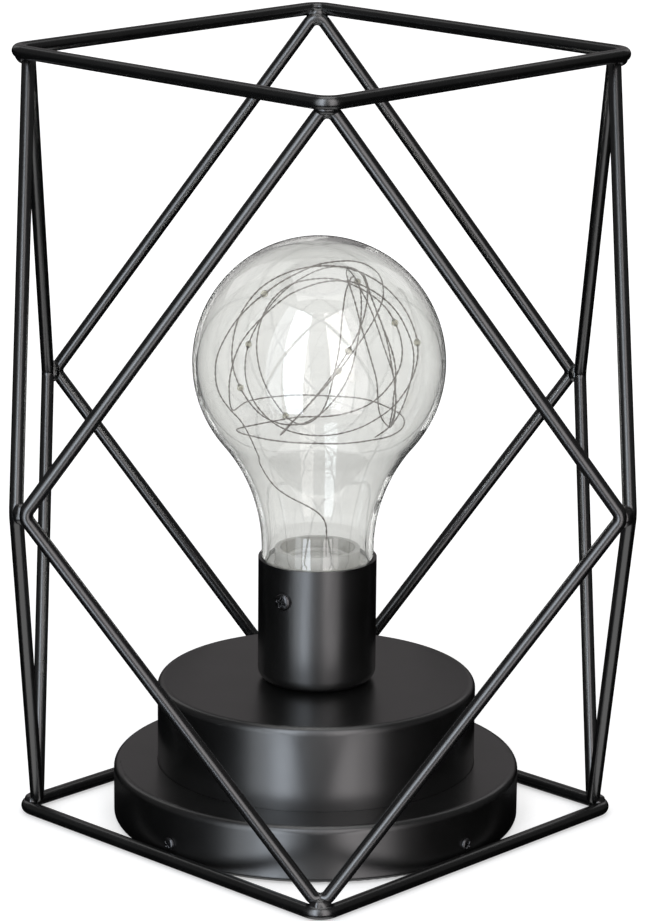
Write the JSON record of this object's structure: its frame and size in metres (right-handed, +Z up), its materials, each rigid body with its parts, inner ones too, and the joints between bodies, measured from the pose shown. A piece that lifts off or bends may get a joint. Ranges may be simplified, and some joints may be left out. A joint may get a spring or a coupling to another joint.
{
  "type": "cordless table lamp",
  "caption": "Small battery table lamp: a clear bulb with a looped wire of tiny lights on a round stepped base, inside an open cage of bent black wire.",
  "frame": {"origin": "middle of the lamp, at the surface it stands on", "axes": "+Z up through the bulb, -Y towards the viewer of the front hoop, +X to that viewer's right"},
  "size_m": [0.1432, 0.1432, 0.188],
  "materials": {
    "cage_paint": "satin black powder coat",
    "base_paint": "satin black paint",
    "holder_paint": "satin black paint",
    "cover_plastic": "fine spark grain, black",
    "screw_black": "black oxide",
    "screw_steel": "zinc plated",
    "foot_rubber": "soft foam rubber",
    "bulb_clear": "clear",
    "plug_pale": "pale, translucent",
    "wire_tinned": "lacquered fine wire",
    "bead_resin": "clear resin over a chip",
    "cell_jacket": "plain film jacket",
    "contact_nickel": "nickel plated",
    "switch_steel": "tinned",
    "knob_plastic": "ribbed pad",
    "board_green": "solder mask",
    "parts_black": "moulded",
    "lead_red": "insulation",
    "lead_black": "insulation",
    "lead_white": "insulation",
    "tube_steel": "zinc plated"
  },
  "bodies": {
    "lamp": {"base_cover": "cover_plastic", "battery_cell_1": "cell_jacket", "battery_cell_2": "cell_jacket", "battery_cell_3": "cell_jacket", "battery_lead_minus": "lead_black", "battery_lead_plus": "lead_red", "board_parts": "parts_black", "board_screws": "screw_steel", "bulb_envelope": "bulb_clear", "bulb_holder": "holder_paint", "bulb_plug": "plug_pale", "cage_bottom_ring": "cage_paint", "cage_hoop_back": "cage_paint", "cage_hoop_front": "cage_paint", "cage_hoop_left": "cage_paint", "cage_hoop_right": "cage_paint", "cage_screws": "screw_black", "cage_top_ring": "cage_paint", "cage_welds": "cage_paint", "contact_bridge_left": "contact_nickel", "contact_bridge_right": "contact_nickel", "contact_minus": "contact_nickel", "contact_plus": "contact_nickel", "contact_springs": "contact_nickel", "cover_screws": "screw_steel", "drum_screws": "screw_steel", "holder_nipple": "tube_steel", "holder_screws": "screw_black", "lamp_leads": "lead_white", "light_beads": "bead_resin", "light_wire": "wire_tinned", "lower_drum": "base_paint", "nipple_nuts": "tube_steel", "rubber_feet": "foot_rubber", "switch_body": "switch_steel", "switch_leads": "lead_black", "timer_board": "board_green", "upper_drum": "base_paint"},
    "battery_door": {"battery_door": "cover_plastic"},
    "switch_knob": {"switch_knob": "knob_plastic"}
  },
  "joints": [
    {"name": "battery_door_tilt", "type": "hinge", "parent": "lamp", "child": "battery_door", "pos_m": [0.0281, 0, 0.0012], "axis": [0, -1, 0], "range_deg": [0, 35]},
    {"name": "switch_slide", "type": "slide", "parent": "lamp", "child": "switch_knob", "axis": [1, 0, 0], "range_m": [-0.002, 0.002]}
  ]
}
